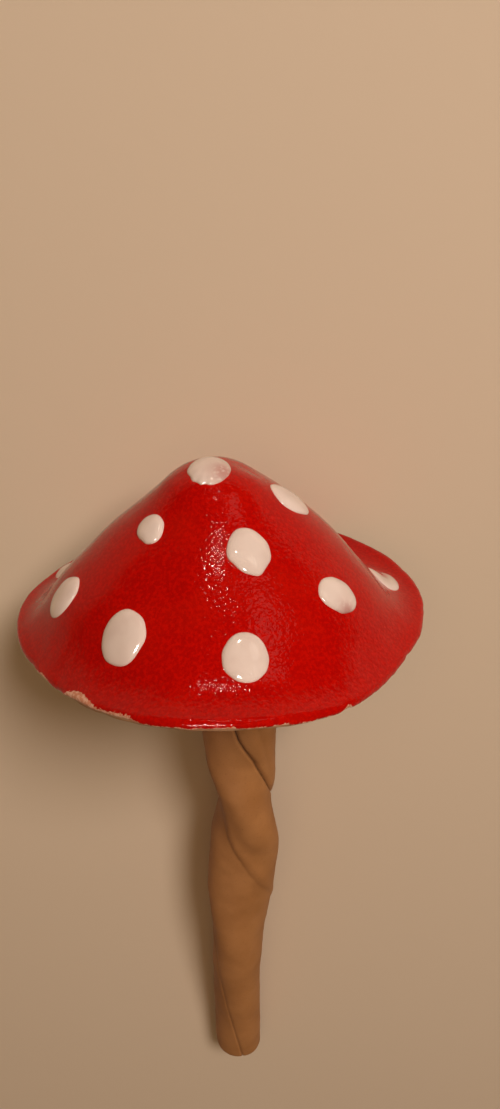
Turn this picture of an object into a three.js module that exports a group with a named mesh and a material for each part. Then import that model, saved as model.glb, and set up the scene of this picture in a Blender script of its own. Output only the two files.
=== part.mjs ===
// A hand-built ceramic toadstool: a rolled slab of clay draped into a tall hat, glazed red,
// with raised white spots, on a twisted stem of bare brown clay. It lies on its side, on the back of
// its brim and the end of its stem, because the slim stem doesn't stand on its own.
//
// The pieces are shaped in the toadstool's own upright frame: Z up the stem, X to the right of the
// cap's front, Y to its back, and the origin on the stem's axis, level with the brim. One group at the
// end lays it down. Lengths are millimetres and angles degrees.

import * as THREE from "three";

// ---- driving dimensions ----

const PEAK_HEIGHT = 59; // the clay's peak over the origin
const CAP_SHIFT = -5.5; // the cap sits a little to the left of the stem's axis
const CAP_ROLL = -2.7; // and leans to the left

const SLAB = 4.5; // thickness of the cap's clay
const GAP = 0.3; // what touching pieces keep between them
const GLAZE = 0.7; // thickness of the red glaze
const BARE_EDGE = 2.4; // unglazed clay left round the edge

// The eight sides of the cap, every 45 degrees anticlockwise from the right, seen from above.
// reach: length over the clay from the peak to the edge
// flank: how much steeper than the usual slope it is half way down
// brim: how much steeper than the usual slope it is at the edge
const SIDES = [
  { side: "right", reach: 94, flank: 6, brim: -13 },
  { side: "back right", reach: 94, flank: 18, brim: -42 },
  { side: "back", reach: 88, flank: 5, brim: -19 },
  { side: "back left", reach: 87, flank: 13, brim: -30 },
  { side: "left", reach: 93.5, flank: -3, brim: -1 },
  { side: "front left", reach: 89, flank: -4, brim: 12 },
  { side: "front", reach: 90.4, flank: -7, brim: -21 },
  { side: "front right", reach: 91.5, flank: -5, brim: 15 },
];

// The back of the brim is trimmed straight: how far the straight stretch is from the peak, seen from
// above, and how sharply it turns into the round brim at both ends.
const BACK_TRIM = 61;
const TRIM_SHARPNESS = 40;

// The usual slope below the horizontal, at shares of the way from the peak to the edge.
const SLOPES = [
  { share: 0, slope: 0 },
  { share: 0.08, slope: 13 },
  { share: 0.2, slope: 45 },
  { share: 0.4, slope: 38 },
  { share: 0.6, slope: 45 },
  { share: 0.8, slope: 54 },
  { share: 1, slope: 23 },
];

// The white spots. around: anticlockwise from the right. out: distance from the peak, seen from above.
// long and short: half lengths over the surface. turn: of the long axis, from along the brim towards
// down the slope.
const SPOTS = [
  { name: "crown_spot", around: 262, out: 4, long: 8.6, short: 6.9, turn: 85 },
  { name: "front_high_spot", around: 291, out: 31, long: 8.1, short: 6.7, turn: 100 },
  { name: "front_low_spot", around: 279.5, out: 57, long: 7.8, short: 6.7, turn: 96 },
  { name: "left_low_spot", around: 239, out: 52, long: 8.8, short: 8, turn: 83 },
  { name: "left_high_spot", around: 222, out: 26, long: 5.8, short: 4.9, turn: 30 },
  { name: "left_spot", around: 202, out: 53, long: 7.7, short: 6, turn: 103 },
  { name: "right_high_spot", around: 357, out: 25, long: 8, short: 7, turn: 80 },
  { name: "right_low_spot", around: 320, out: 49, long: 7.3, short: 5.9, turn: 45 },
  { name: "right_spot", around: 8, out: 58.5, long: 9.2, short: 6.9, turn: 35 },
  { name: "back_left_spot", around: 157, out: 62, long: 7.8, short: 6.6, turn: 20 },
  { name: "back_high_spot", around: 88, out: 30, long: 7.4, short: 6.2, turn: 70 },
  { name: "back_low_spot", around: 106, out: 53, long: 8, short: 7.4, turn: 110 },
  { name: "back_right_spot", around: 52, out: 45, long: 7.4, short: 6.2, turn: 60 },
  { name: "back_small_spot", around: 137, out: 36, long: 5.4, short: 4.8, turn: 10 },
];
const SPOT_GAP = 0.6; // between the glaze and a spot, whose faces are split differently
const SPOT_EDGE = 0.4; // height of a spot at its edge
const SPOT_DOME = 1.7; // how much higher it is in the middle

// Sections of the stem: an oval that turns as the clay twists. down: distance below the origin.
// long and short: half widths. turn: of the long axis from the right. x and y: the section's centre.
const STEM = [
  { down: -46, long: 13.4, short: 11.6, turn: -150, x: 0, y: 0 },
  { down: 0, long: 13.6, short: 11.2, turn: -80, x: 0, y: 0 },
  { down: 50, long: 14.6, short: 11.4, turn: -10, x: 0, y: 0 },
  { down: 62, long: 14.2, short: 11.2, turn: 12, x: 0.6, y: 0.2 },
  { down: 74, long: 14, short: 11, turn: 52, x: 1.8, y: 0.4 },
  { down: 86, long: 14, short: 11.1, turn: 90, x: 2.1, y: 0.5 },
  { down: 98, long: 14.4, short: 11.2, turn: 126, x: 2.2, y: 0.4 },
  { down: 111, long: 14.6, short: 11.4, turn: 168, x: 1.8, y: 0.2 },
  { down: 126, long: 14.6, short: 11.4, turn: 184, x: 1, y: 0 },
  { down: 140, long: 14.4, short: 11.2, turn: 200, x: 0.3, y: -0.2 },
  { down: 156, long: 13.8, short: 11, turn: 228, x: -0.2, y: -0.2 },
  { down: 186, long: 12.6, short: 11.2, turn: 268, x: -1.8, y: 0 },
  { down: 216, long: 11.8, short: 10.4, turn: 310, x: -2, y: 0.2 },
  { down: 250, long: 10.8, short: 9.8, turn: 355, x: -1.4, y: 0 },
];
const STEM_END_ROUND = 3; // rounding of the stem's free end
const VAULT_GAP = 0.9; // between the stem or its collar and the inside of the cap

const COLLAR_DROP = 17; // how far the collar of joining clay reaches down the stem
const COLLAR_WIDTH = 9; // and out from it, under the cap

const LYING_TILT = 78.9; // from upright to lying, on the back of the brim and the end of the stem
const LYING_TURN = -0.4; // turn about the stem, so that both ends of the trimmed edge touch down
const LYING_AT = new THREE.Vector3(6.2, 92.7, 57.3); // brings the middle of its box over the origin

// ---- how fine the meshes are ----

const CAP_COLUMNS = 48;
const CAP_SHARES = [0.07, 0.15, 0.25, 0.36, 0.47, 0.58, 0.67, 0.75, 0.82, 0.88, 0.94];
const STEM_COLUMNS = 24;
const STEM_STEP = 7;
const SPOT_COLUMNS = 16;
const SPOT_RINGS = [1, 0.82, 0.45];

// ---- the cap's surface ----

const radians = THREE.MathUtils.degToRad;
const PROFILE_STEPS = 100;

// A smooth closed curve through the eight sides' values.
function aroundCap(key, angle) {
  return SIDES.reduce((sum, side, index) => {
    const away = radians(angle - index * 45);
    const weight = 1 + 2 * (Math.cos(away) + Math.cos(2 * away) + Math.cos(3 * away)) + Math.cos(4 * away);
    return sum + (side[key] * weight) / SIDES.length;
  }, 0);
}

function usualSlope(share) {
  const next = Math.max(1, SLOPES.findIndex((knot) => knot.share >= share));
  const [a, b] = [SLOPES[next - 1], SLOPES[next]];
  return THREE.MathUtils.mapLinear(share, a.share, b.share, a.slope, b.slope);
}

function slopeAt(share, flank, brim) {
  const flankPart = share > 0.2 ? Math.sin((Math.PI * (share - 0.2)) / 0.8) ** 2 : 0;
  return radians(usualSlope(share) + flank * flankPart + brim * THREE.MathUtils.smoothstep(share, 0.6, 1));
}

// The section through the untrimmed cap at one angle: distance out and height at even steps.
function untrimmedProfile(angle) {
  const [reach, flank, brim] = ["reach", "flank", "brim"].map((key) => aroundCap(key, angle));
  const step = reach / PROFILE_STEPS;
  const points = [new THREE.Vector2(0, PEAK_HEIGHT)];
  for (let i = 0; i < PROFILE_STEPS; i++) {
    const slope = slopeAt((i + 0.5) / PROFILE_STEPS, flank, brim);
    const last = points[i];
    points.push(new THREE.Vector2(last.x + step * Math.cos(slope), last.y - step * Math.sin(slope)));
  }
  return { points, reach };
}

// The same section with the share of it that the trimmed back leaves, and the length that is left.
function profile(angle) {
  const { points, reach } = untrimmedProfile(angle);
  const limit = BACK_TRIM / Math.max(Math.sin(radians(angle)), 0.2);
  const straight = limit / points.at(-1).x;
  const kept = (1 + straight ** -TRIM_SHARPNESS) ** (-1 / TRIM_SHARPNESS);
  return { points, kept, length: kept * reach };
}

const reachAt = (angle) => profile(angle).length;

// A point on the cap's outside, a share of the way from the peak to the edge.
function capPoint(angle, share) {
  const { points, kept } = profile(angle);
  const at = THREE.MathUtils.clamp(share * kept, 0, 1) * PROFILE_STEPS;
  const index = Math.min(Math.floor(at), PROFILE_STEPS - 1);
  const flat = points[index].clone().lerp(points[index + 1], at - index);
  const turn = radians(angle);
  return new THREE.Vector3(flat.x * Math.cos(turn), flat.x * Math.sin(turn), flat.y);
}

// The height of the cap's outside over a point of the plan.
function capHeight(x, y) {
  const out = Math.hypot(x, y);
  const { points } = untrimmedProfile(THREE.MathUtils.radToDeg(Math.atan2(y, x)));
  const next = points.findIndex((point) => point.x > out);
  if (next < 1) return points.at(-1).y;
  const [a, b] = [points[next - 1], points[next]];
  return THREE.MathUtils.mapLinear(out, a.x, b.x, a.y, b.y);
}

// The direction square to the cap's outside, over a point of the plan.
function capNormal(x, y) {
  const step = 0.5;
  const slopeX = (capHeight(x + step, y) - capHeight(x - step, y)) / (2 * step);
  const slopeY = (capHeight(x, y + step) - capHeight(x, y - step)) / (2 * step);
  return new THREE.Vector3(-slopeX, -slopeY, 1).normalize();
}

// One column of the cap: its outside points from near the peak to where the edge starts to round.
function capColumn(angle, edgeShare) {
  const shares = [...CAP_SHARES, edgeShare];
  return shares.map((share) => {
    const ahead = capPoint(angle, Math.min(share + 0.01, 1));
    const behind = capPoint(angle, share - 0.01);
    const left = capPoint(angle + 1, share);
    const right = capPoint(angle - 1, share);
    const down = ahead.sub(behind).normalize();
    const normal = new THREE.Vector3().crossVectors(down, left.sub(right)).normalize();
    return { point: capPoint(angle, share), normal, down };
  });
}

// ---- mesh helpers ----

// A closed body from rings of points, each ring anticlockwise seen from the first ring's side,
// with a point over the first ring and one under the last. A sheet goes out and folds back: past the
// ring where it folds, its faces are split the other way, so that both sides are split alike.
function loft(first, rings, last, fold = rings.length) {
  const columns = rings[0].length;
  const points = [first, ...rings.flat(), last];
  const at = (ring, column) => 1 + ring * columns + (column % columns);
  const faces = [];
  for (let c = 0; c < columns; c++) {
    faces.push(0, at(0, c), at(0, c + 1));
    for (let r = 0; r + 1 < rings.length; r++) {
      const [a, b, d, e] = [at(r, c), at(r + 1, c), at(r + 1, c + 1), at(r, c + 1)];
      faces.push(...(r < fold ? [a, b, d, a, d, e] : [a, b, e, b, d, e]));
    }
    faces.push(at(rings.length - 1, c + 1), at(rings.length - 1, c), points.length - 1);
  }
  return new THREE.BufferGeometry().setFromPoints(points).setIndex(faces);
}

// A closed ring-shaped body: each column is one closed section, and the columns go all the way round.
function ringBody(sections) {
  const rows = sections[0].length;
  const at = (column, row) => (column % sections.length) * rows + (row % rows);
  const faces = [];
  for (let c = 0; c < sections.length; c++) {
    for (let r = 0; r < rows; r++) {
      faces.push(at(c, r), at(c, r + 1), at(c + 1, r + 1));
      faces.push(at(c, r), at(c + 1, r + 1), at(c + 1, r));
    }
  }
  return new THREE.BufferGeometry().setFromPoints(sections.flat()).setIndex(faces);
}

const turns = (count) => Array.from({ length: count }, (_, index) => (index * 360) / count);

function makeMesh(name, geometry, color, roughness) {
  geometry.computeVertexNormals();
  const mesh = new THREE.Mesh(geometry, new THREE.MeshStandardMaterial({ color, roughness, metalness: 0 }));
  mesh.name = name;
  return mesh;
}

// ---- the pieces ----

// Rings over the cap's outside, raised by a height, with the edge at a distance from the clay's edge.
function capRings(raise, fromEdge) {
  const columns = turns(CAP_COLUMNS).map((angle) =>
    capColumn(angle, 1 - fromEdge / reachAt(angle)).map(({ point, normal }) =>
      point.addScaledVector(normal, raise),
    ),
  );
  return columns[0].map((_, row) => columns.map((column) => column[row]));
}

function makeCap() {
  const half = SLAB / 2;
  const edges = turns(CAP_COLUMNS).map((angle) => capColumn(angle, 1 - half / reachAt(angle)).at(-1));
  const edgeRing = (turn) =>
    edges.map(({ point, normal, down }) =>
      point
        .clone()
        .addScaledVector(normal, half * (Math.cos(radians(turn)) - 1))
        .addScaledVector(down, half * Math.sin(radians(turn))),
    );
  const rings = [
    ...capRings(0, half),
    edgeRing(45),
    edgeRing(90),
    edgeRing(135),
    ...capRings(-SLAB, half).reverse(),
  ];
  const top = new THREE.Vector3(0, 0, PEAK_HEIGHT);
  const vault = new THREE.Vector3(0, 0, PEAK_HEIGHT - SLAB);
  return makeMesh("cap_clay", loft(top, rings, vault, rings.length / 2), "#b5804f", 0.85);
}

function makeGlaze() {
  const rings = [...capRings(GAP + GLAZE, BARE_EDGE), ...capRings(GAP, BARE_EDGE).reverse()];
  const top = new THREE.Vector3(0, 0, PEAK_HEIGHT + GAP + GLAZE);
  const under = new THREE.Vector3(0, 0, PEAK_HEIGHT + GAP);
  return makeMesh("red_glaze", loft(top, rings, under, rings.length / 2), "#b00d06", 0.12);
}

function makeSpot({ name, around, out, long, short, turn }) {
  const centre = new THREE.Vector2(out, 0).rotateAround(new THREE.Vector2(), radians(around));
  const normal = capNormal(centre.x, centre.y);
  const along = new THREE.Vector3(-Math.sin(radians(around)), Math.cos(radians(around)), 0);
  along.addScaledVector(normal, -along.dot(normal)).normalize();
  const down = new THREE.Vector3().crossVectors(along, normal);
  // A point of the spot: a share of the way from its middle to its edge, raised over the glaze.
  const spotPoint = (angle, share, raise) => {
    const oval = new THREE.Vector2(long * Math.cos(angle), short * Math.sin(angle)).multiplyScalar(share);
    oval.rotateAround(new THREE.Vector2(), radians(turn));
    const x = centre.x + along.x * oval.x + down.x * oval.y;
    const y = centre.y + along.y * oval.x + down.y * oval.y;
    return new THREE.Vector3(x, y, capHeight(x, y)).addScaledVector(capNormal(x, y), raise);
  };
  const base = GAP + GLAZE + SPOT_GAP;
  const dome = (share) => base + SPOT_EDGE + SPOT_DOME * Math.sqrt(1 - share * share);
  const ring = (share, raise) =>
    turns(SPOT_COLUMNS).map((angle) => spotPoint(-radians(angle), share, raise));
  const rings = [...SPOT_RINGS.toReversed().map((share) => ring(share, dome(share)))];
  rings.push(...SPOT_RINGS.map((share) => ring(share, base)));
  return makeMesh(name, loft(spotPoint(0, 0, dome(0)), rings, spotPoint(0, 0, base)), "#e6d6c6", 0.1);
}

// The value of one key of the stem's sections at a distance down, on a smooth curve through them.
function alongStem(key, down) {
  const last = STEM.length - 1;
  const next = THREE.MathUtils.clamp(STEM.findIndex((section) => section.down >= down), 1, last);
  const tangent = (index) => {
    const [before, after] = [STEM[Math.max(index - 1, 0)], STEM[Math.min(index + 1, last)]];
    return (after[key] - before[key]) / (after.down - before.down);
  };
  const [a, b] = [STEM[next - 1], STEM[next]];
  const span = b.down - a.down;
  const t = (down - a.down) / span;
  return (
    a[key] * (1 + 2 * t) * (1 - t) ** 2 +
    tangent(next - 1) * span * t * (1 - t) ** 2 +
    b[key] * t * t * (3 - 2 * t) +
    tangent(next) * span * t * t * (t - 1)
  );
}

// A point on the stem, at an angle from the right, with the oval grown by a margin.
function stemPoint(down, angle, margin = 0) {
  const [long, short, turn, x, y] = ["long", "short", "turn", "x", "y"].map((key) => alongStem(key, down));
  const away = radians(angle - turn);
  const [a, b] = [long + margin, short + margin];
  const radius = (a * b) / Math.hypot(b * Math.cos(away), a * Math.sin(away));
  const turned = radians(angle);
  return new THREE.Vector3(x + radius * Math.cos(turned), y + radius * Math.sin(turned), -down);
}

// The height of the cap's inside over a point of the plan, in the stem's upright frame.
function vaultHeight(x, y) {
  const lean = radians(CAP_ROLL);
  let height = 0;
  let across = x - CAP_SHIFT;
  for (let pass = 0; pass < 4; pass++) {
    const normal = capNormal(across, y);
    const inside = capHeight(across, y) - SLAB / normal.z;
    height = inside * Math.cos(lean) - across * Math.sin(lean);
    across = (x - CAP_SHIFT - inside * Math.sin(lean)) / Math.cos(lean);
  }
  return height;
}

// Where the clay of the stem or the collar stops short of the cap's inside, over or under a point.
function underVault(point) {
  return new THREE.Vector3(point.x, point.y, vaultHeight(point.x, point.y) - VAULT_GAP);
}

function makeStem() {
  const end = STEM.at(-1).down;
  const topRing = (share) =>
    turns(STEM_COLUMNS).map((angle) => {
      const edge = stemPoint(-40, angle);
      return underVault(edge.multiplyScalar(share));
    });
  const rings = [topRing(0.5), topRing(1)];
  const rows = Math.round((end - STEM_END_ROUND + 34) / STEM_STEP);
  for (let row = 0; row <= rows; row++) {
    const down = THREE.MathUtils.lerp(-34, end - STEM_END_ROUND, row / rows);
    rings.push(turns(STEM_COLUMNS).map((angle) => stemPoint(down, angle)));
  }
  for (const turn of [35, 70]) {
    const inward = STEM_END_ROUND * (Math.cos(radians(turn)) - 1);
    const down = end - STEM_END_ROUND + STEM_END_ROUND * Math.sin(radians(turn));
    rings.push(turns(STEM_COLUMNS).map((angle) => stemPoint(down, angle, inward)));
  }
  const solid = loft(underVault(new THREE.Vector3()), rings, new THREE.Vector3(0, 0, -end));
  return makeMesh("stem", solid, "#8a5a30", 0.8);
}

// The collar of clay that joins the stem to the inside of the cap: a fillet all the way round.
function makeCollar() {
  const sections = turns(STEM_COLUMNS).map((angle) => {
    const wall = (down) => stemPoint(down, angle, GAP);
    const outer = stemPoint(-40, angle, COLLAR_WIDTH);
    const top = underVault(wall(-40));
    const tip = underVault(outer);
    const foot = Math.min(top.z, tip.z) - COLLAR_DROP;
    const bottom = wall(-foot);
    const waist = wall(-(foot + COLLAR_DROP / 2));
    const belly = bottom.clone().lerp(tip, 0.5).lerp(waist, 0.3);
    return [waist, top, underVault(top.clone().lerp(tip, 0.5)), tip, belly, bottom];
  });
  return makeMesh("collar", ringBody(sections), "#94633a", 0.85);
}

// ---- the toadstool ----

const cap = new THREE.Group();
cap.position.x = CAP_SHIFT;
cap.rotation.y = radians(CAP_ROLL);
cap.add(makeCap(), makeGlaze(), ...SPOTS.map(makeSpot));

const toadstool = new THREE.Group();
toadstool.add(cap, makeStem(), makeCollar());

toadstool.rotation.z = radians(LYING_TURN);

const lying = new THREE.Group();
lying.rotation.x = -radians(LYING_TILT);
lying.position.copy(LYING_AT);
lying.add(toadstool);

const part = new THREE.Group();
part.add(lying);

export default part;
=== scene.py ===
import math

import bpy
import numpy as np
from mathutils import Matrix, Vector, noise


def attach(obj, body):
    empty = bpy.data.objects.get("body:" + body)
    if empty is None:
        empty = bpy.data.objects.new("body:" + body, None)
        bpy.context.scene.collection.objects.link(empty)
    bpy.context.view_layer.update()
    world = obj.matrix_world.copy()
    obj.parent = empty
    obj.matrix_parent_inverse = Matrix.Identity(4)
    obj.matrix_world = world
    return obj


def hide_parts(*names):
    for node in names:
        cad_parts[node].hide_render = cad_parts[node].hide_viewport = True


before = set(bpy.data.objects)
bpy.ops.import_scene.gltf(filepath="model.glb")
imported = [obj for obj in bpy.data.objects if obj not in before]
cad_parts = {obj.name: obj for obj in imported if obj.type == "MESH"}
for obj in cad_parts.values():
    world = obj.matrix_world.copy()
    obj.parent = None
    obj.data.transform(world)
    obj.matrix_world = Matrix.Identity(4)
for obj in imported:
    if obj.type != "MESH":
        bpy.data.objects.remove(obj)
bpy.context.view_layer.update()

# A hand-built ceramic toadstool that lies on its side: a slab of clay draped into a tall hat, glazed
# red with raised white spots, on a long twisted stem of bare brown clay.
#
# Shapes are worked out in millimetres in the toadstool's own upright frame, as the CAD model's are:
# Z up the stem, X to the right of the cap's front, Y to its back, origin on the stem's axis level with
# the brim. laid_down turns them into metres in the part's frame. Angles are degrees.

# ---------------------------------------------------------------- the CAD model's driving dimensions

PEAK_HEIGHT = 59
CAP_SHIFT = -5.5
CAP_ROLL = -2.7
SLAB = 4.5

# side, reach over the clay from peak to edge, extra slope half way down, extra slope at the edge
SIDES = [
    ("right", 94, 6, -13),
    ("back right", 94, 18, -42),
    ("back", 88, 5, -19),
    ("back left", 87, 13, -30),
    ("left", 93.5, -3, -1),
    ("front left", 89, -4, 12),
    ("front", 90.4, -7, -21),
    ("front right", 91.5, -5, 15),
]
REACH, FLANK_SLOPE, EDGE_SLOPE = 1, 2, 3  # columns of SIDES
BACK_TRIM = 61
TRIM_SHARPNESS = 40
SLOPE_SHARES = [0, 0.08, 0.2, 0.4, 0.6, 0.8, 1]
SLOPES = [0, 13, 45, 38, 45, 54, 23]

# the stem's oval sections: down, half length, half width, turn, x, y
STEM = [
    (-46, 13.4, 11.6, -150, 0, 0),
    (0, 13.6, 11.2, -80, 0, 0),
    (50, 14.6, 11.4, -10, 0, 0),
    (62, 14.2, 11.2, 12, 0.6, 0.2),
    (74, 14, 11, 52, 1.8, 0.4),
    (86, 14, 11.1, 90, 2.1, 0.5),
    (98, 14.4, 11.2, 126, 2.2, 0.4),
    (111, 14.6, 11.4, 168, 1.8, 0.2),
    (126, 14.6, 11.4, 184, 1, 0),
    (140, 14.4, 11.2, 200, 0.3, -0.2),
    (156, 13.8, 11, 228, -0.2, -0.2),
    (186, 12.6, 11.2, 268, -1.8, 0),
    (216, 11.8, 10.4, 310, -2.0, 0.2),
    (250, 10.8, 9.8, 355, -1.4, 0),
]
LONG, SHORT, TURN, SECTION_X, SECTION_Y = 1, 2, 3, 4, 5  # columns of STEM
STEM_END = 250
COLLAR_DROP = 17
COLLAR_WIDTH = 9

LYING_TILT = 78.9
LYING_TURN = -0.4
LYING_AT = Vector((6.2, 92.7, 57.3))

MM = 0.001
LAY_DOWN = (
    Matrix.Translation(LYING_AT)
    @ Matrix.Rotation(-math.radians(LYING_TILT), 4, "X")
    @ Matrix.Rotation(math.radians(LYING_TURN), 4, "Z")
)
SET_CAP = Matrix.Translation((CAP_SHIFT, 0, 0)) @ Matrix.Rotation(math.radians(CAP_ROLL), 4, "Y")


def moved(points, matrix):
    m = np.array(matrix)
    return points @ m[:3, :3].T + m[:3, 3]


def laid_down(points):
    """From the upright frame in millimetres to the part's frame in metres."""
    return moved(points, LAY_DOWN) * MM


def cap_laid_down(points):
    """The same for points of the cap before it is set on its stem."""
    return laid_down(moved(points, SET_CAP))


# ---------------------------------------------------------------- camera

CAMERA_ELEVATION = 28  # over the plane of the brim
CAMERA_AT = Vector((4.3, -254.3, 160.7))
LENS = 27.04
SENSOR = 36
NEAREST_SEEN = 0.01  # metres


def make_camera():
    elevation = math.radians(CAMERA_ELEVATION)
    back = Vector((0, -math.cos(elevation), math.sin(elevation)))
    up = Vector((0, math.sin(elevation), math.cos(elevation)))
    upright = Matrix((Vector((1, 0, 0)), up, back)).transposed().to_4x4()
    upright.translation = CAMERA_AT
    matrix = LAY_DOWN @ upright
    matrix.translation = matrix.translation * MM
    data = bpy.data.cameras.new("camera")
    data.sensor_width = SENSOR
    data.lens = LENS
    data.clip_start = NEAREST_SEEN
    camera = bpy.data.objects.new("camera", data)
    camera.matrix_world = matrix
    bpy.context.collection.objects.link(camera)
    bpy.context.scene.camera = camera


# ---------------------------------------------------------------- curves and noise


def smoothstep(value, low, high):
    """Rises smoothly from 0 at low to 1 at high."""
    t = np.clip((value - low) / (high - low), 0, 1)
    return t * t * (3 - 2 * t)


def bell(value, width, middle=0):
    """A smooth hump: 1 at the middle, and almost gone at twice this width from it."""
    return np.exp(-(((value - middle) / width) ** 2))


def turn_from(angle, angles):
    """How far round from one angle to others, from -180 to 180."""
    return (angles - angle + 180) % 360 - 180


def bells(angles, humps):
    """The sum of smooth humps round the cap: angle, half width and height."""
    total = np.zeros_like(angles)
    for angle, width, height in humps:
        total += height * bell(turn_from(angle, angles), width)
    return total


SEED_STEPS = (7.31, 3.77, 5.13)  # how far apart two seeds read the same noise
RING_STEP = 9.7


def wobble(points, size, seed):
    """Smooth noise from -1 to 1 at points, with features of about this size in millimetres."""
    flat = points.reshape(-1, 3) / size
    shift = Vector([seed * step for step in SEED_STEPS])
    values = [noise.noise(Vector(point) + shift) for point in flat]
    return np.array(values).reshape(points.shape[:-1])


def ring_wobble(angles, size, seed):
    """Noise round a ring, with features of about this many degrees."""
    turn = np.radians(angles)
    radius = 180 / math.pi / size
    level = np.full_like(turn, seed * RING_STEP)
    points = np.stack([radius * np.cos(turn), radius * np.sin(turn), level], axis=-1)
    return wobble(points, 1, seed)


def lumps(points, waves):
    """The sum of noises at points: the height, size and seed of each."""
    return sum(height * wobble(points, size, seed) for height, size, seed in waves)


def ring_lumps(angles, waves):
    """The sum of noises round a ring: the height, size and seed of each."""
    return sum(height * ring_wobble(angles, size, seed) for height, size, seed in waves)


# ---------------------------------------------------------------- the cap's surface

PROFILE_STEPS = 200
FLANK_FROM = 0.2  # the share of the way down where the flank's extra slope begins
EDGE_FROM = 0.6  # and where the edge's begins
LEAST_FACING = 0.2  # keeps the line of the back's trim away from the front
SHARE_STEP = 0.004  # the steps that measure the slope
TURN_STEP = 0.4
PLAN_STEP = 0.5
# noise on the slab's outside: height, size, seed
CLAY_LUMPS = [(0.45, 17, 1), (0.09, 6, 2)]
# where the clay was pinched in under the peak: x, y, radius, depth
PRESSED = [(13, 4, 9, 2.1), (-15, 3, 8, 1.0)]


def around_cap(column, angles):
    """A smooth closed curve through one column of SIDES, at these angles."""
    total = 0
    for index, side in enumerate(SIDES):
        away = np.radians(angles - index * 360 / len(SIDES))
        weight = 1 + 2 * (np.cos(away) + np.cos(2 * away) + np.cos(3 * away)) + np.cos(4 * away)
        total = total + side[column] * weight / len(SIDES)
    return total


def cap_profiles(angles):
    """Distance out and height of the untrimmed cap at even steps from the peak, a column per angle."""
    shares = ((np.arange(PROFILE_STEPS) + 0.5) / PROFILE_STEPS)[:, None]
    hump = np.sin(np.pi * (shares - FLANK_FROM) / (1 - FLANK_FROM)) ** 2
    flank_part = np.where(shares > FLANK_FROM, hump, 0)
    edge_part = smoothstep(shares, EDGE_FROM, 1)
    slope = np.interp(shares, SLOPE_SHARES, SLOPES)
    slope = slope + around_cap(FLANK_SLOPE, angles) * flank_part
    slope = np.radians(slope + around_cap(EDGE_SLOPE, angles) * edge_part)
    step = around_cap(REACH, angles) / PROFILE_STEPS
    start = np.zeros((1, len(angles)))
    out = np.vstack([start, np.cumsum(np.cos(slope) * step, axis=0)])
    height = PEAK_HEIGHT - np.vstack([start, np.cumsum(np.sin(slope) * step, axis=0)])
    return out, height


def kept_share(angles, out):
    """The share of the untrimmed cap that its straight-trimmed back leaves."""
    straight = BACK_TRIM / np.maximum(np.sin(np.radians(angles)), LEAST_FACING) / out[-1]
    return (1 + straight**-TRIM_SHARPNESS) ** (-1 / TRIM_SHARPNESS)


def edge_length(angles):
    out, _ = cap_profiles(angles)
    return kept_share(angles, out) * around_cap(REACH, angles)


def between_rows(table, low, part):
    """Values part of the way from row low of a table to the next row, for each of its columns."""
    columns = np.arange(table.shape[1])
    return table[low, columns] * (1 - part) + table[low + 1, columns] * part


def cap_points(angles, shares):
    """Points of the cap's outside. shares has a row per ring and a column per angle."""
    out, height = cap_profiles(angles)
    at = np.clip(shares * kept_share(angles, out), 0, 1) * PROFILE_STEPS
    low = np.minimum(at.astype(int), PROFILE_STEPS - 1)
    r, z = between_rows(out, low, at - low), between_rows(height, low, at - low)
    turn = np.radians(angles)
    return np.stack([r * np.cos(turn), r * np.sin(turn), z], axis=-1)


def unit(vectors):
    return vectors / (np.linalg.norm(vectors, axis=-1, keepdims=True) + 1e-12)


def lumpy(points, normals):
    """The slab isn't even: raises and lowers the points a little, as hand-pressed clay does."""
    height = lumps(points, CLAY_LUMPS)
    for x, y, radius, depth in PRESSED:
        away = np.hypot(points[..., 0] - x, points[..., 1] - y)
        height = height - depth * bell(away, radius)
    return points + normals * height[..., None]


def cap_grid(angles, shares):
    """Lumpy points of the cap's outside, with the outward normals and the directions down the slope."""
    ahead, behind = np.minimum(shares + SHARE_STEP, 1), np.maximum(shares - SHARE_STEP, 0)
    down = cap_points(angles, ahead) - cap_points(angles, behind)
    side = cap_points(angles + TURN_STEP, shares) - cap_points(angles - TURN_STEP, shares)
    normals = unit(np.cross(down, side))
    return lumpy(cap_points(angles, shares), normals), normals, unit(down)


def cap_heights(x, y):
    """Height of the cap's outside over points of the plan."""
    distance = np.hypot(x, y)
    out, height = cap_profiles(np.degrees(np.arctan2(y, x)))
    low = np.clip((out <= distance).sum(axis=0) - 1, 0, PROFILE_STEPS - 1)
    columns = np.arange(len(distance))
    part = (distance - out[low, columns]) / (out[low + 1, columns] - out[low, columns])
    return between_rows(height, low, part)


def cap_surface(x, y):
    """Lumpy points and normals of the cap's outside over points of the plan."""
    slope_x = (cap_heights(x + PLAN_STEP, y) - cap_heights(x - PLAN_STEP, y)) / (2 * PLAN_STEP)
    slope_y = (cap_heights(x, y + PLAN_STEP) - cap_heights(x, y - PLAN_STEP)) / (2 * PLAN_STEP)
    normals = unit(np.stack([-slope_x, -slope_y, np.ones_like(x)], axis=-1))
    points = np.stack([x, y, cap_heights(x, y)], axis=-1)
    return lumpy(points, normals), normals


# ---------------------------------------------------------------- mesh helpers


def even_angles(count):
    return np.arange(count) * 360 / count


def build(name, points, faces, material, attributes):
    mesh = bpy.data.meshes.new(name)
    mesh.from_pydata(points.tolist(), [], faces)
    for key, values in attributes.items():
        layer = mesh.attributes.new(key, "FLOAT", "POINT")
        layer.data.foreach_set("value", np.ascontiguousarray(values, dtype=np.float32))
    mesh.validate()
    mesh.shade_smooth()
    mesh.materials.append(material)
    piece = bpy.data.objects.new(name, mesh)
    bpy.context.collection.objects.link(piece)
    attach(piece, "root")
    return piece


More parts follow.
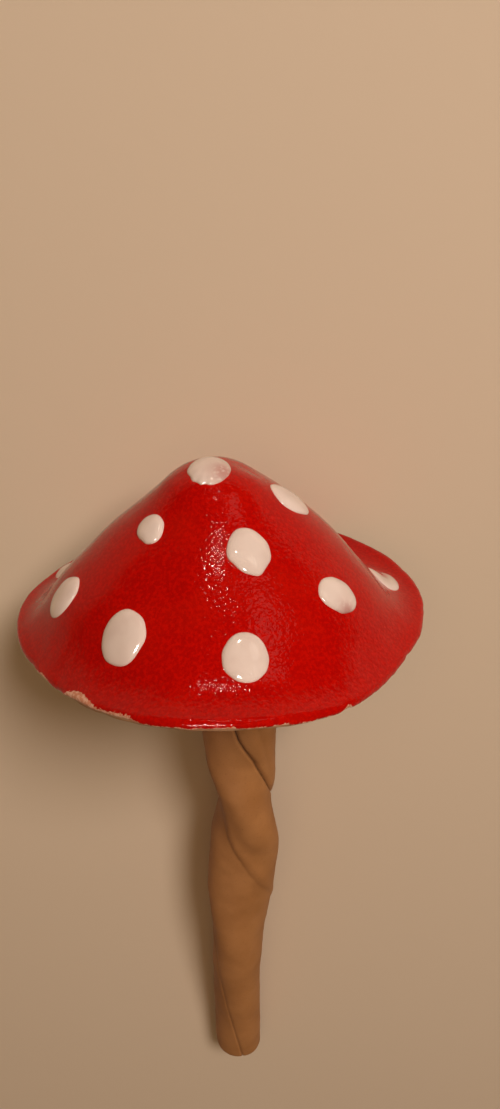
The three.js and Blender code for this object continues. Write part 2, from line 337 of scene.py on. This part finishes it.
def loft_faces(rows, columns):
    """Faces of a closed body: a point, rows of rings, and a last point."""
    last = 1 + rows * columns

    def at(row, column):
        return 1 + row * columns + column % columns

    faces = []
    for c in range(columns):
        faces.append((0, at(0, c), at(0, c + 1)))
        for r in range(rows - 1):
            faces.append((at(r, c), at(r + 1, c), at(r + 1, c + 1), at(r, c + 1)))
        faces.append((at(rows - 1, c + 1), at(rows - 1, c), last))
    return faces


def loft(name, first, rings, last, placed, material, **attributes):
    """A closed body from rings of points, an array of rows by columns by 3, and two end points.

    placed takes the points to the part's frame. An attribute is its values on the rings, and at both ends.
    """
    rows, columns = rings.shape[:2]
    points = np.vstack([[first], rings.reshape(-1, 3), [last]])
    full = {}
    for key, (values, at_ends) in attributes.items():
        full[key] = np.concatenate([[at_ends], values.ravel(), [at_ends]])
    return build(name, placed(points), loft_faces(rows, columns), material, full)


# ---------------------------------------------------------------- materials

COAT_ROUGHNESS = 0.04
MIX_FACTOR, MIX_COLOR_A, MIX_COLOR_B, MIXED_COLOR = 0, 6, 7, 2  # the Mix node's colour sockets


class Shader:
    """A material with a Principled shader, and short calls for the nodes that feed it."""

    def __init__(self, name, roughness, specular=0.5, coat=0.0):
        self.material = bpy.data.materials.new(name)
        self.material.use_nodes = True
        self.tree = self.material.node_tree
        self.shader = self.tree.nodes["Principled BSDF"]
        self.shader.inputs["Roughness"].default_value = roughness
        self.shader.inputs["Specular IOR Level"].default_value = specular
        self.shader.inputs["Coat Weight"].default_value = coat
        self.shader.inputs["Coat Roughness"].default_value = COAT_ROUGHNESS
        self.places = self.tree.nodes.new("ShaderNodeTexCoord").outputs["Object"]

    def feed(self, socket, value):
        if isinstance(value, bpy.types.NodeSocket):
            self.tree.links.new(value, socket)
        else:
            socket.default_value = value

    def noise(self, size_mm, detail, rough=0.5):
        node = self.tree.nodes.new("ShaderNodeTexNoise")
        self.feed(node.inputs["Vector"], self.places)
        node.inputs["Scale"].default_value = 1 / (size_mm * MM)
        node.inputs["Detail"].default_value = detail
        node.inputs["Roughness"].default_value = rough
        return node.outputs["Fac"]

    def attribute(self, name):
        node = self.tree.nodes.new("ShaderNodeAttribute")
        node.attribute_name = name
        return node.outputs["Fac"]

    def ramp(self, value, low, high, most=1.0):
        """Rises smoothly from 0 where the value is low to most where it is high."""
        node = self.tree.nodes.new("ShaderNodeMapRange")
        node.interpolation_type = "SMOOTHSTEP"
        self.feed(node.inputs["Value"], value)
        node.inputs["From Min"].default_value = low
        node.inputs["From Max"].default_value = high
        node.inputs["To Min"].default_value = 0.0
        node.inputs["To Max"].default_value = most
        return node.outputs["Result"]

    def patches(self, size_mm, detail, low, high, most=1.0):
        """Soft patches of this size, where the noise is high."""
        return self.ramp(self.noise(size_mm, detail), low, high, most)

    def math(self, operation, a, b):
        node = self.tree.nodes.new("ShaderNodeMath")
        node.operation = operation
        self.feed(node.inputs[0], a)
        self.feed(node.inputs[1], b)
        return node.outputs[0]

    def mix(self, factor, a, b):
        node = self.tree.nodes.new("ShaderNodeMix")
        node.data_type = "RGBA"
        self.feed(node.inputs[MIX_FACTOR], factor)
        self.feed(node.inputs[MIX_COLOR_A], a)
        self.feed(node.inputs[MIX_COLOR_B], b)
        return node.outputs[MIXED_COLOR]

    def bump(self, height, distance_mm, strength, normal=None):
        node = self.tree.nodes.new("ShaderNodeBump")
        self.feed(node.inputs["Height"], height)
        node.inputs["Distance"].default_value = distance_mm * MM
        node.inputs["Strength"].default_value = strength
        if normal is not None:
            self.feed(node.inputs["Normal"], normal)
        return node.outputs["Normal"]

    def finish(self, color, normal):
        self.feed(self.shader.inputs["Base Color"], color)
        self.feed(self.shader.inputs["Normal"], normal)
        self.feed(self.shader.inputs["Coat Normal"], normal)
        return self.material


def linear(value):
    """A 0-255 display value as a share of full light."""
    share = value / 255
    return ((share + 0.055) / 1.055) ** 2.4 if share > 0.04045 else share / 12.92


def srgb(red, green, blue):
    """A shader colour from 0-255 display values."""
    return (linear(red), linear(green), linear(blue), 1.0)


def make_red_glaze():
    s = Shader("red_glaze", roughness=0.09, specular=0.2)
    deep, bright = srgb(175, 4, 1), srgb(193, 8, 1)
    warm, speck = srgb(190, 22, 6), srgb(130, 4, 1)
    color = s.mix(s.patches(1.1, 3, 0.42, 0.62), deep, bright)
    color = s.mix(s.patches(14, 3, 0.45, 0.75, most=0.3), color, warm)
    color = s.mix(s.patches(0.55, 1, 0.68, 0.78, most=0.45), color, speck)
    # The glaze thins where it breaks over the edge, and the clay shows through in ragged flakes.
    thin = s.attribute("thin")
    flakes = s.math("ADD", thin, s.math("MULTIPLY", s.noise(1.5, 4, rough=0.6), 2.4))
    worn = s.math("MULTIPLY", s.ramp(flakes, 1.6, 1.8), s.ramp(thin, 0.02, 0.2))
    pale = s.mix(s.patches(1.2, 3, 0.4, 0.6), srgb(214, 138, 106), srgb(232, 180, 154))
    color = s.mix(worn, color, pale)
    peel = s.math("MULTIPLY", s.noise(1.25, 1), s.attribute("peel"))
    peel = s.bump(peel, distance_mm=0.23, strength=0.9)
    return s.finish(color, s.bump(s.noise(4, 1), 0.1, 0.8, peel))


def make_white_glaze():
    s = Shader("white_glaze", roughness=0.12, coat=0.5)
    color = s.mix(s.patches(9, 2, 0.4, 0.7), srgb(239, 216, 205), srgb(231, 206, 195))
    blush = s.math("MULTIPLY", s.attribute("blush"), s.patches(1.8, 3, 0.2, 0.5))
    color = s.mix(blush, color, srgb(196, 138, 130))
    return s.finish(color, s.bump(s.noise(5, 1), distance_mm=0.12, strength=0.5))


def make_bare_clay():
    s = Shader("bare_clay", roughness=0.78, specular=0.3)
    color = s.mix(s.patches(7, 4, 0.35, 0.7), srgb(206, 156, 116), srgb(184, 132, 90))
    color = s.mix(s.patches(0.5, 2, 0.62, 0.75, most=0.5), color, srgb(120, 84, 54))
    grain = s.bump(s.noise(0.35, 3, rough=0.7), distance_mm=0.08, strength=0.7)
    return s.finish(color, s.bump(s.noise(4.5, 3), 0.3, 0.6, grain))


def make_stem_clay():
    s = Shader("stem_clay", roughness=0.62, specular=0.35)
    color = s.mix(s.patches(16, 3, 0.3, 0.75), srgb(180, 122, 72), srgb(165, 109, 61))
    color = s.mix(s.patches(0.6, 2, 0.6, 0.78, most=0.4), color, srgb(104, 66, 36))
    # Painted shade: the fold creases are darkened towards this deep brown, as far as their painted-shade
    # attribute says.
    color = s.mix(s.attribute("crease"), color, srgb(64, 38, 20))
    grain = s.bump(s.noise(0.4, 3, rough=0.65), distance_mm=0.05, strength=0.6)
    return s.finish(color, s.bump(s.noise(5, 3), 0.15, 0.5, grain))


# ---------------------------------------------------------------- the cap's clay and its red glaze

EDGE_COLUMNS = 480
EDGE_SHORTFALL = 0.25  # how far the clay's edge falls short of the smooth outline
EDGE_HALF = 1.75  # half the slab's thickness at the edge, which is rounded off
# noise in those two: height, size in degrees, seed
SHORTFALL_NOISE = [(0.3, 9, 3), (0.12, 2.5, 4)]
EDGE_HALF_NOISE = [(0.3, 14, 8)]
# nicks in the clay's edge: angle, half width, depth
NICKS = [
    (335, 1.6, 0.4), (241, 2, 0.35), (222, 2.4, 0.4), (205, 2.5, 0.5), (60, 2.4, 0.8), (90, 30, 0.5),
    (133, 2.2, 0.7),
]
THINS_FROM, THINS_TO = 0.72, 0.97  # shares of the way down where the slab thins towards its edge
UNDERSIDE_LUMPS = [(0.35, 11, 10), (0.12, 3.5, 11)]
LUMPS_FROM, LUMPS_TO = 0.03, 0.1  # shares of the way in from the edge where those lumps begin
# rows of rings: shares of the way down the outside, radians round the edge, shares of the underside
CLAY_ROWS = np.concatenate([np.linspace(0.02, 0.86, 14), np.linspace(0.88, 1, 14)])[:, None]
EDGE_ROWS = np.linspace(0, math.pi, 14)[1:-1, None]
UNDERSIDE_ROWS = np.linspace(1, 0.02, 90)[:, None]

GLAZE = 0.9  # a little thicker than the CAD's
GLAZE_WRAP = 2.7  # how far the glaze runs round the edge
GLAZE_WRAP_NOISE = [(0.35, 7, 5), (0.22, 1.8, 6)]
GLAZE_LIP = 1.1  # the coat rounds off over this distance from its end
GLAZE_SINK = 0.35  # how deep the coat's inside lies in the clay
GLAZE_TUCK = 0.2  # how far it stops short of the coat's end
# rows of rings down the coat's outside, closer and closer together at its end, and back up its inside
RIM_ROWS = 1 - 0.07 * np.linspace(1, 0, 26)[1:] ** 1.6
COAT_ROWS = np.concatenate([np.linspace(0.012, 0.93, 100), RIM_ROWS])[:, None]
INSIDE_ROWS = np.linspace(1, 0.03, 18)[:, None]
# stretches where the glaze breaks away from the edge: angle, half width, how far
BREAKS = [
    (213, 6, 0.9), (232, 7.5, 1.5), (248, 7, 0.7), (303, 1.6, 0.8), (336, 1.6, 0.4), (40, 8, 0.5),
    (90, 26, 2.4), (120, 9, 1.2),
]
FULL_BREAK = 1.5  # a break this deep has the widest pale zone beside it
PALE_LEAST, PALE_EXTRA = 0.15, 1.9  # width of the pale zone: everywhere, and more at a full break
PALE_FROM, PALE_TO = -0.3, 1.0  # the fade at the pale zone's far side
# where the orange peel in the glaze is strongest, how wide that is, and its share of that elsewhere
PEEL_FRONT, PEEL_WIDTH, PEEL_LEAST = 275, 42, 0.4


def edge_radius(angles):
    """Half the slab's thickness at the edge."""
    return EDGE_HALF + ring_lumps(angles, EDGE_HALF_NOISE)


def edge_start(angles):
    """How far down the slope the rounded edge begins."""
    shortfall = EDGE_SHORTFALL + bells(angles, NICKS) + ring_lumps(angles, SHORTFALL_NOISE)
    return edge_length(angles) - shortfall - edge_radius(angles)


def clay_skin(angles, reach):
    """Points and normals of the clay, at distances from the peak down the slope and round the edge."""
    flat, radius = edge_start(angles), edge_radius(angles)
    points, normals, down = cap_grid(angles, np.minimum(reach, flat) / edge_length(angles))
    bend = (np.maximum(reach - flat, 0) / radius)[..., None]
    width = radius[:, None]
    round_edge = normals * width * (np.cos(bend) - 1) + down * width * np.sin(bend)
    return points + round_edge, normals * np.cos(bend) + down * np.sin(bend)


def make_cap_clay(material):
    """The slab: its outside, its rounded edge, and its uneven underside."""
    angles = even_angles(EDGE_COLUMNS)
    flat, radius = edge_start(angles), edge_radius(angles)
    outside, _ = clay_skin(angles, np.concatenate([CLAY_ROWS * flat, flat + EDGE_ROWS * radius]))
    share = UNDERSIDE_ROWS * flat / edge_length(angles)
    under, normals, _ = cap_grid(angles, share)
    thickness = SLAB + (2 * radius - SLAB) * smoothstep(share, THINS_FROM, THINS_TO)
    hollows = lumps(under, UNDERSIDE_LUMPS) * smoothstep(1 - share, LUMPS_FROM, LUMPS_TO)
    under = under - normals * (thickness + hollows)[..., None]
    rings = np.concatenate([outside, under])
    peak, vault = (0, 0, PEAK_HEIGHT), (0, 0, PEAK_HEIGHT - SLAB)
    piece = loft("cap_clay_slab", peak, rings, vault, cap_laid_down, material)
    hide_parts("cap_clay")


def thinned(angles, to_end):
    """How thin the glaze is, from 0 to 1, at distances from its end. It thins further in at a break."""
    broken = np.clip(bells(angles, BREAKS) / FULL_BREAK, 0, 1)
    pale = PALE_LEAST + PALE_EXTRA * broken**2
    return 1 - smoothstep(to_end, pale + PALE_FROM, pale + PALE_TO)


def make_glaze_coat(material):
    """The red glaze: a coat over the cap's outside that runs round the edge and ends there."""
    angles = even_angles(EDGE_COLUMNS)
    end = edge_start(angles) + GLAZE_WRAP + ring_lumps(angles, GLAZE_WRAP_NOISE) - bells(angles, BREAKS)
    reach = COAT_ROWS * end
    thickness = GLAZE * np.sqrt(1 - np.clip(1 - (end - reach) / GLAZE_LIP, 0, 1) ** 2)
    points, normals = clay_skin(angles, reach)
    top = points + normals * thickness[..., None]
    points, normals = clay_skin(angles, INSIDE_ROWS * end - GLAZE_TUCK)
    rings = np.concatenate([top, points - normals * GLAZE_SINK])
    thin = np.concatenate([thinned(angles, end - reach), np.ones(points.shape[:2])])
    peel = PEEL_LEAST + (1 - PEEL_LEAST) * bell(turn_from(PEEL_FRONT, angles), PEEL_WIDTH)
    peel = np.broadcast_to(peel, thin.shape)
    first, last = (0, 0, PEAK_HEIGHT + GLAZE), (0, 0, PEAK_HEIGHT - GLAZE_SINK)
    piece = loft(
        "red_glaze_coat", first, rings, last, cap_laid_down, material, thin=(thin, 0.0), peel=(peel, 1.0)
    )
    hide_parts("red_glaze")


# ---------------------------------------------------------------- white spots

SPOT_COLUMNS = 96
SPOT_HEIGHT = 1.6
SPOT_SHARES = np.array([0.12, 0.28, 0.44, 0.58, 0.7, 0.79, 0.86, 0.91, 0.95, 0.98, 1.0, 1.0])
SPOT_FLATNESS, SPOT_SHOULDER = 3.2, 0.62  # how flat the middle is, and how steep the side
SPOT_SINK = 0.6  # how far the foot goes down into the red glaze
SPOT_FLOOR = 0.2  # the middle of the underside, below the clay's surface
SPOT_WAVE, SPOT_WAVE_SIZE = 0.3, 30  # noise in a spot's outline: height, and size in degrees
# name, angle round the cap, distance out, half length, half width, turn, then dents in the outline
# (direction, half width, depth) and a blush where the white is thin (direction, share of the way out,
# size). The turn and the directions run from along the brim towards down the slope.
SPOTS = [
    ("crown_spot", 262, 4, 8.6, 6.9, 85, [(110, 9, 0.5), (88, 8, 0.6), (140, 14, 0.4)], (30, 0.8, 0.5)),
    ("front_high_spot", 291, 31, 8.1, 6.7, 100, [(140, 26, 0.9), (85, 12, -0.6)], None),
    ("front_low_spot", 279.5, 57, 7.8, 6.7, 96, [(200, 30, -0.3)], None),
    ("left_low_spot", 239, 52, 8.8, 8, 83, [(210, 30, 0.4), (20, 25, 0.5)], None),
    ("left_high_spot", 222, 26, 5.8, 4.9, 30, [(90, 20, 0.3)], None),
    ("left_spot", 202, 53, 7.7, 6, 103, [(180, 30, 0.5)], None),
    ("right_high_spot", 357, 25, 8, 7, 80, [(150, 25, 0.4)], None),
    ("right_low_spot", 320, 49, 7.3, 5.9, 45, [(230, 24, 0.4)], (100, 1.02, 0.5)),
    ("right_spot", 8, 58.5, 9.2, 6.9, 35, [(90, 30, 0.5)], None),
    ("back_left_spot", 157, 62, 7.8, 6.6, 20, [(60, 30, 0.4)], None),
    ("back_high_spot", 88, 30, 7.4, 6.2, 70, [(10, 25, 0.4)], None),
    ("back_low_spot", 106, 53, 8, 7.4, 110, [(300, 25, 0.5)], (120, 0.9, 0.4)),
    ("back_right_spot", 52, 45, 7.4, 6.2, 60, [(220, 25, 0.4)], None),
    ("back_small_spot", 137, 36, 5.4, 4.8, 10, [(80, 22, 0.3)], None),
]


def spot_reach(name, angles, long, short, turn, dents):
    """How far the spot's dented, uneven oval reaches from its middle in each direction."""
    seed = sum(map(ord, name)) % 97
    ragged = 1 - (bells(angles, dents) + SPOT_WAVE * ring_wobble(angles, SPOT_WAVE_SIZE, seed)) / long
    away = np.radians(angles - turn)
    return ragged * long * short / np.hypot(short * np.cos(away), long * np.sin(away))


def blushing(angles, blush):
    """How much a spot blushes at each point of its rings."""
    spread = np.zeros((len(SPOT_SHARES), SPOT_COLUMNS))
    if blush:
        direction, share, size = blush
        x = SPOT_SHARES[:, None] * np.cos(np.radians(angles)) - share * math.cos(math.radians(direction))
        y = SPOT_SHARES[:, None] * np.sin(np.radians(angles)) - share * math.sin(math.radians(direction))
        spread = np.exp(-(x**2 + y**2) / size**2)
    return spread


def make_spot(material, name, around, out, long, short, turn, dents, blush):
    """A pool of thick white glaze: a flat-topped dome with a rounded foot, laid over the red."""
    outward = np.array([math.cos(math.radians(around)), math.sin(math.radians(around)), 0])
    along = np.array([-outward[1], outward[0], 0])
    centre = out * outward
    middle, normal = (found[0] for found in cap_surface(centre[:1], centre[1:2]))
    along = unit(along - normal * along.dot(normal))
    down = np.cross(along, normal)
    angles = -even_angles(SPOT_COLUMNS) % 360
    reach = SPOT_SHARES[:, None] * spot_reach(name, angles, long, short, turn, dents)
    u = (reach * np.cos(np.radians(angles))).ravel()
    v = (reach * np.sin(np.radians(angles))).ravel()
    x, y = (centre[axis] + along[axis] * u + down[axis] * v for axis in (0, 1))
    points, normals = cap_surface(x, y)
    lift = SPOT_HEIGHT * (1 - SPOT_SHARES**SPOT_FLATNESS) ** SPOT_SHOULDER
    lift[-1] = -SPOT_SINK
    height = GLAZE + np.repeat(lift, SPOT_COLUMNS)
    rings = (points + normals * height[:, None]).reshape(len(SPOT_SHARES), SPOT_COLUMNS, 3)
    top = middle + normal * (GLAZE + SPOT_HEIGHT)
    bottom = middle - normal * SPOT_FLOOR
    blush_part = blushing(angles, blush)
    piece = loft(name + "_glaze", top, rings, bottom, cap_laid_down, material, blush=(blush_part, 0.0))
    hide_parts(name)


# ---------------------------------------------------------------- stem

STEM_COLUMNS = 180
STEM_ROWS = 400
STEM_TOP = 44  # how high the stem runs into the cap
TOP_CROWN = 2  # the middle of its top stands this much higher
END_ROUNDING = 3.5
END_FLAT = 0.97  # the rounding stops here, short of a point
END_DISH = 0.3  # how deep the end's middle lies
STEM_LUMPS = [(0.4, 16, 21), (0.14, 5, 22)]
STEM_TRIM = 0.1  # taken off all round, because of the lumps
# Folds where the twisted clay meets itself: the route of the crease (distance down, angle, strength),
# then its depth, half width and how strongly painted shade darkens it, and the height and half width of
# the clay standing beside it.
WRAP_FOLD = [
    (-46, -10, 0.6), (30, 240, 1), (42, 261, 1), (48, 270, 1), (60, 300, 1), (66, 311, 1), (78, 338, 1),
    (84, 360, 0.8), (110, 452, 0.4), (141, 549, 0.3), (165, 573, 0.2), (188, 589, 0.15), (215, 612, 0.2),
    (250, 645, 0.4),
]
SOFT_FOLD = [
    (-46, 130, 0), (60, 190, 0.2), (76, 213, 0.5), (98, 226, 0.8), (106, 243, 1), (112, 262, 1),
    (127, 305, 1), (136, 335, 0.7), (160, 400, 0.4), (250, 520, 0.3),
]
FLAP_FOLD = [
    (-46, 280, 0), (34, 298, 0.6), (44, 306, 1), (60, 323, 1), (72, 338, 0.4), (84, 352, 0), (250, 600, 0),
]
FOLDS = [
    (WRAP_FOLD, 1.3, 0.55, 0.9, 0.9, 5.0),
    (SOFT_FOLD, 0.14, 2.2, 0.02, 0.5, 2.8),
    (FLAP_FOLD, 0.3, 1.8, 0.06, 0.2, 3.0),
]
LIP_RISE = 0.4  # the share of its half width over which the standing clay rises from the crease
DIP_SHARE, DIP_WIDTH = 0.3, 4  # the clay on the crease's other side dips by this share of that height
SHADE_SHARE = 0.7  # the share of the crease's width that is darkened with painted shade


def along_stem(column, down):
    """One column of STEM at distances down, on a smooth curve through the sections."""
    table = np.array(STEM, dtype=float)
    places, values = table[:, 0], table[:, column]
    order = np.arange(len(STEM))
    before, after = np.maximum(order - 1, 0), np.minimum(order + 1, len(STEM) - 1)
    tangents = (values[after] - values[before]) / (places[after] - places[before])
    b = np.clip(np.searchsorted(places, down), 1, len(STEM) - 1)
    a = b - 1
    span = places[b] - places[a]
    t = (down - places[a]) / span
    return (
        values[a] * (1 + 2 * t) * (1 - t) ** 2
        + tangents[a] * span * t * (1 - t) ** 2
        + values[b] * t * t * (3 - 2 * t)
        + tangents[b] * span * t * t * (t - 1)
    )


def stem_radius(down, angles, margin=0.0):
    long, short, turn = (along_stem(column, down) for column in (LONG, SHORT, TURN))
    away = np.radians(angles - turn)
    a, b = long + margin, short + margin
    return a * b / np.hypot(b * np.cos(away), a * np.sin(away))


def stem_points(down, angles, radius):
    x = along_stem(SECTION_X, down) + radius * np.cos(np.radians(angles))
    y = along_stem(SECTION_Y, down) + radius * np.sin(np.radians(angles))
    return np.stack(np.broadcast_arrays(x, y, -down), axis=-1)


def folded(down, angles, radius):
    """The stem's radius with its folds in it, and how much painted shade darkens the creases."""
    crease = np.zeros(radius.shape)
    for route, depth, width, shade_strength, lip, lip_width in FOLDS:
        places, turns, strengths = zip(*route)
        strength = np.interp(down, places, strengths)
        across = np.radians(turn_from(np.interp(down, places, turns), angles)) * radius
        raised = lip * bell(across, lip_width, lip_width) * smoothstep(across, 0, LIP_RISE * lip_width)
        dip = DIP_SHARE * lip * bell(across, DIP_WIDTH, -DIP_WIDTH) * (across < 0)
        sunk = depth * bell(across, width) + dip
        radius = radius + strength * (raised - sunk)
        # The painted shade in the crease, strongest along its middle.
        crease = np.maximum(crease, strength * shade_strength * bell(across, SHADE_SHARE * width))
    return radius, crease


def make_stem(material):
    """The long rolled stem, twisted and folded over itself, with a rounded end."""
    angles = even_angles(STEM_COLUMNS)[None, :]
    down = np.linspace(-STEM_TOP, STEM_END, STEM_ROWS)[:, None]
    radius, crease = folded(down, angles, stem_radius(down, angles))
    radius = radius + lumps(stem_points(down, angles, radius), STEM_LUMPS) - STEM_TRIM
    into_end = np.clip((down - (STEM_END - END_ROUNDING)) / END_ROUNDING, 0, END_FLAT)
    radius = radius - END_ROUNDING * (1 - np.sqrt(1 - into_end**2))
    rings = stem_points(down, angles, radius)
    top, bottom = (0, 0, STEM_TOP + TOP_CROWN), (0, 0, -STEM_END + END_DISH)
    piece = loft("twisted_stem", top, rings, bottom, laid_down, material, crease=(crease, 0.0))
    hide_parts("stem")


# ---------------------------------------------------------------- collar

COLLAR_COLUMNS = 144
COLLAR_ROWS = 18
COLLAR_LEVEL = 40.0  # the collar's plan at the cap is the stem's, at this height, made wider
COLLAR_RIM_NOISE = [(0.9, 40, 31)]
COLLAR_FOOT_NOISE = [(1.6, 35, 32)]
COLLAR_LUMPS = [(0.35, 5, 33)]
RIM_SINK = 1.2  # how far the collar's rim goes into the cap
FOOT_SINK = 0.3  # and its foot into the stem
CORE_TOP_SINK, CORE_TOP_DROP = 1.0, 1.5  # how deep in the stem, and under the cap, its inside begins
CORE_SINK = 3.0  # and how deep in the stem it ends
CORE_ENDS = (0, 0, 44), (0, 0, 26)  # the middles of its two ends
WAIST_WIDTH, WAIST_RISE = 1.2, 3  # the sweep bends towards here: out from the stem, up from the foot
WAIST_SHARE = 0.8  # how far towards there from the rim
SWEEP_CENTRE = (0, 0, 20)  # the lumps stand away from here
LEAN_ROUNDS = 4


def vault_heights(x, y):
    """Height of the cap's inside over points of the plan, in the upright frame.

    The cap leans, so the place on it that lies over a point is found in a few rounds.
    """
    lean = math.radians(CAP_ROLL)
    across = x - CAP_SHIFT
    for _ in range(LEAN_ROUNDS):
        points, normals = cap_surface(across.ravel(), y.ravel())
        inside = (points[:, 2] - SLAB / normals[:, 2]).reshape(x.shape)
        height = inside * math.cos(lean) - across * math.sin(lean)
        across = (x - CAP_SHIFT - inside * math.sin(lean)) / math.cos(lean)
    return height


def make_collar(material):
    """The joining clay: a rough sweep from the inside of the cap in to the stem."""
    angles = even_angles(COLLAR_COLUMNS)
    level = np.full_like(angles, -COLLAR_LEVEL)
    rim_radius = stem_radius(level, angles, COLLAR_WIDTH) + ring_lumps(angles, COLLAR_RIM_NOISE)
    rim = stem_points(level, angles, rim_radius)
    rim[:, 2] = vault_heights(rim[:, 0], rim[:, 1]) + RIM_SINK
    inner = stem_points(level, angles, stem_radius(level, angles, -CORE_TOP_SINK))
    inner[:, 2] = vault_heights(inner[:, 0], inner[:, 1]) - CORE_TOP_DROP
    foot_down = -(rim[:, 2] - COLLAR_DROP + ring_lumps(angles, COLLAR_FOOT_NOISE))
    foot, waist, core = (
        stem_points(foot_down, angles, stem_radius(foot_down, angles, margin))
        for margin in (-FOOT_SINK, WAIST_WIDTH, -CORE_SINK)
    )
    waist[:, 2] += WAIST_RISE
    bend = waist * WAIST_SHARE + rim * (1 - WAIST_SHARE)
    t = np.linspace(0, 1, COLLAR_ROWS)[:, None, None]
    sweep = (1 - t) ** 2 * rim + 2 * t * (1 - t) * bend + t * t * foot
    outward = unit(sweep - np.array(SWEEP_CENTRE))
    sweep[1:-1] += outward[1:-1] * lumps(sweep[1:-1], COLLAR_LUMPS)[..., None]
    rings = np.concatenate([inner[None], sweep, core[None]])
    top, bottom = CORE_ENDS
    # The collar carries no painted shade from the creases.
    no_crease = np.zeros(rings.shape[:2])
    piece = loft("joining_collar", top, rings, bottom, laid_down, material, crease=(no_crease, 0.0))
    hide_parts("collar")


# ---------------------------------------------------------------- floor and lights, in metres

FLOOR_HALF = 3.0
LIGHTS_AIM = Vector((0, 0.1, 0.07))
LAMP_WHITE, CREAM, AMBER = (1.0, 0.945, 0.88), (1.0, 0.87, 0.72), (1.0, 0.69, 0.37)
ROOM_GLOW = 0.07
# name, direction, distance, size, power in watts, colour, and whether the light is only for reflections
LIGHTS = [
    ("key", (0.36, 0.5, 0.8), 1.3, 0.45, 11.7, LAMP_WHITE, False),
    ("wide_fill", (-0.05, 0.3, 0.95), 1.6, 1.3, 5.2, AMBER, False),
    ("ceiling_glow", (0.38, 0.8, 0.46), 1.5, 0.5, 0.7, CREAM, True),
    ("lamp_behind_peak", (-0.08, 0.94, 0.34), 1.4, 0.06, 2.2, CREAM, True),
    ("lamp_over_stem", (-0.2, 0.25, 0.95), 1.1, 0.18, 10.0, LAMP_WHITE, True),
]


def make_floor():
    s = Shader("plain_floor", roughness=0.85, specular=0.2)
    material = s.finish(srgb(214, 190, 166), s.bump(s.noise(9, 3), distance_mm=0.4, strength=0.25))
    corners = [(x * FLOOR_HALF, y * FLOOR_HALF, 0) for x, y in ((-1, -1), (1, -1), (1, 1), (-1, 1))]
    mesh = bpy.data.meshes.new("floor")
    mesh.from_pydata(corners, [], [(0, 1, 2, 3)])
    mesh.materials.append(material)
    floor = bpy.data.objects.new("floor", mesh)
    bpy.context.collection.objects.link(floor)


def make_light(name, direction, distance, size, power, color, for_reflections):
    data = bpy.data.lights.new(name, "AREA")
    data.shape = "DISK"
    data.size = size
    data.energy = power
    data.color = color
    light = bpy.data.objects.new(name, data)
    light.location = LIGHTS_AIM + Vector(direction).normalized() * distance
    light.rotation_euler = (LIGHTS_AIM - light.location).to_track_quat("-Z", "Y").to_euler()
    light.visible_glossy = for_reflections
    light.visible_diffuse = not for_reflections
    bpy.context.collection.objects.link(light)


def make_world():
    world = bpy.data.worlds.new("soft_room")
    world.use_nodes = True
    background = world.node_tree.nodes["Background"]
    background.inputs["Color"].default_value = (*AMBER, 1)
    background.inputs["Strength"].default_value = ROOM_GLOW
    bpy.context.scene.world = world
    bpy.context.scene.view_settings.view_transform = "Standard"


# ---------------------------------------------------------------- the scene

make_camera()
make_cap_clay(make_bare_clay())
make_glaze_coat(make_red_glaze())
white_glaze = make_white_glaze()
for spot in SPOTS:
    make_spot(white_glaze, *spot)
stem_clay = make_stem_clay()
make_stem(stem_clay)
make_collar(stem_clay)
make_floor()
for light in LIGHTS:
    make_light(*light)
make_world()
